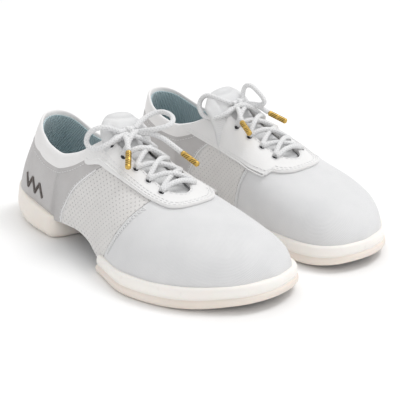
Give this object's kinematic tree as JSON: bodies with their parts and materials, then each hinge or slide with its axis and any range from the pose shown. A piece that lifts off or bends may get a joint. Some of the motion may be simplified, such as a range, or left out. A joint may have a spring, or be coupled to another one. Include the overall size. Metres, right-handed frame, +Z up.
{
  "type": "cheer shoes",
  "caption": "White split-sole cheer dance shoes with padded collars, perforated midfoot panels and tied round laces",
  "frame": {"origin": "bottom centre of the box round the pair, on the floor midway between the two shoes", "axes": "+Z up, toes toward -Y, the wearer's right shoe at -X"},
  "size_m": [0.2144, 0.2501, 0.0966],
  "materials": {
    "rubber_sole": "matte moulded rubber",
    "arch_textile": "dark woven textile",
    "footbed_textile": "brushed knit over foam",
    "quarter_textile": "fine smooth microfibre",
    "perforated_panel": "perforated textile",
    "vamp_textile": "fine weave with a slight sheen",
    "collar_leather": "soft padded synthetic leather",
    "stiffener": "moulded sheet",
    "lining_textile": "ribbed knit",
    "eyestay_leather": "smooth synthetic leather",
    "tongue_textile": "padded fine weave",
    "embroidery": "satin stitch thread",
    "lace_cord": "round braid",
    "aglet_brass": "polished, knurled"
  },
  "bodies": {
    "right_rear": {"right_heel_sole": "rubber_sole", "right_insole_board": "arch_textile", "right_footbed": "footbed_textile", "right_quarter": "quarter_textile", "right_midfoot_lateral": "perforated_panel", "right_midfoot_medial": "perforated_panel", "right_collar": "collar_leather", "right_heel_counter": "stiffener", "right_heel_lining": "lining_textile", "right_heel_mark": "embroidery"},
    "left_rear": {"left_heel_sole": "rubber_sole", "left_insole_board": "arch_textile", "left_footbed": "footbed_textile", "left_quarter": "quarter_textile", "left_midfoot_lateral": "perforated_panel", "left_midfoot_medial": "perforated_panel", "left_collar": "collar_leather", "left_heel_counter": "stiffener", "left_heel_lining": "lining_textile", "left_heel_mark": "embroidery"},
    "right_front": {"right_forefoot_sole": "rubber_sole", "right_vamp": "vamp_textile", "right_toe_puff": "stiffener", "right_vamp_lining": "lining_textile", "right_eyestay": "eyestay_leather", "right_tongue": "tongue_textile", "right_lacing": "lace_cord", "right_lace_knot": "lace_cord", "right_lace_loop_lateral": "lace_cord", "right_lace_loop_medial": "lace_cord", "right_lace_end_lateral": "lace_cord", "right_lace_end_medial": "lace_cord", "right_aglet_lateral": "aglet_brass", "right_aglet_medial": "aglet_brass"},
    "left_front": {"left_forefoot_sole": "rubber_sole", "left_vamp": "vamp_textile", "left_toe_puff": "stiffener", "left_vamp_lining": "lining_textile", "left_eyestay": "eyestay_leather", "left_tongue": "tongue_textile", "left_lacing": "lace_cord", "left_lace_knot": "lace_cord", "left_lace_loop_lateral": "lace_cord", "left_lace_loop_medial": "lace_cord", "left_lace_end_lateral": "lace_cord", "left_lace_end_medial": "lace_cord", "left_aglet_lateral": "aglet_brass", "left_aglet_medial": "aglet_brass"}
  },
  "joints": [
    {"name": "right_arch_flex", "type": "hinge", "parent": "right_rear", "child": "right_front", "pos_m": [-0.0575, 0.027, 0.038], "axis": [1, 0, 0], "range_deg": [-10, 25], "stiffness_Nm_per_rad": 1.6, "deforming": ["right_insole_board", "right_footbed", "right_quarter", "right_midfoot_lateral", "right_midfoot_medial", "right_collar", "right_heel_lining", "right_vamp_lining", "right_eyestay", "right_tongue"]},
    {"name": "left_shoe_lift", "type": "slide", "parent": "right_rear", "child": "left_rear", "axis": [0, 0, 1], "range_m": [0, 0.3]},
    {"name": "left_arch_flex", "type": "hinge", "parent": "left_rear", "child": "left_front", "pos_m": [0.0575, 0.027, 0.038], "axis": [1, 0, 0], "range_deg": [-10, 25], "stiffness_Nm_per_rad": 1.6, "deforming": ["left_insole_board", "left_footbed", "left_quarter", "left_midfoot_lateral", "left_midfoot_medial", "left_collar", "left_heel_lining", "left_vamp_lining", "left_eyestay", "left_tongue"]}
  ]
}
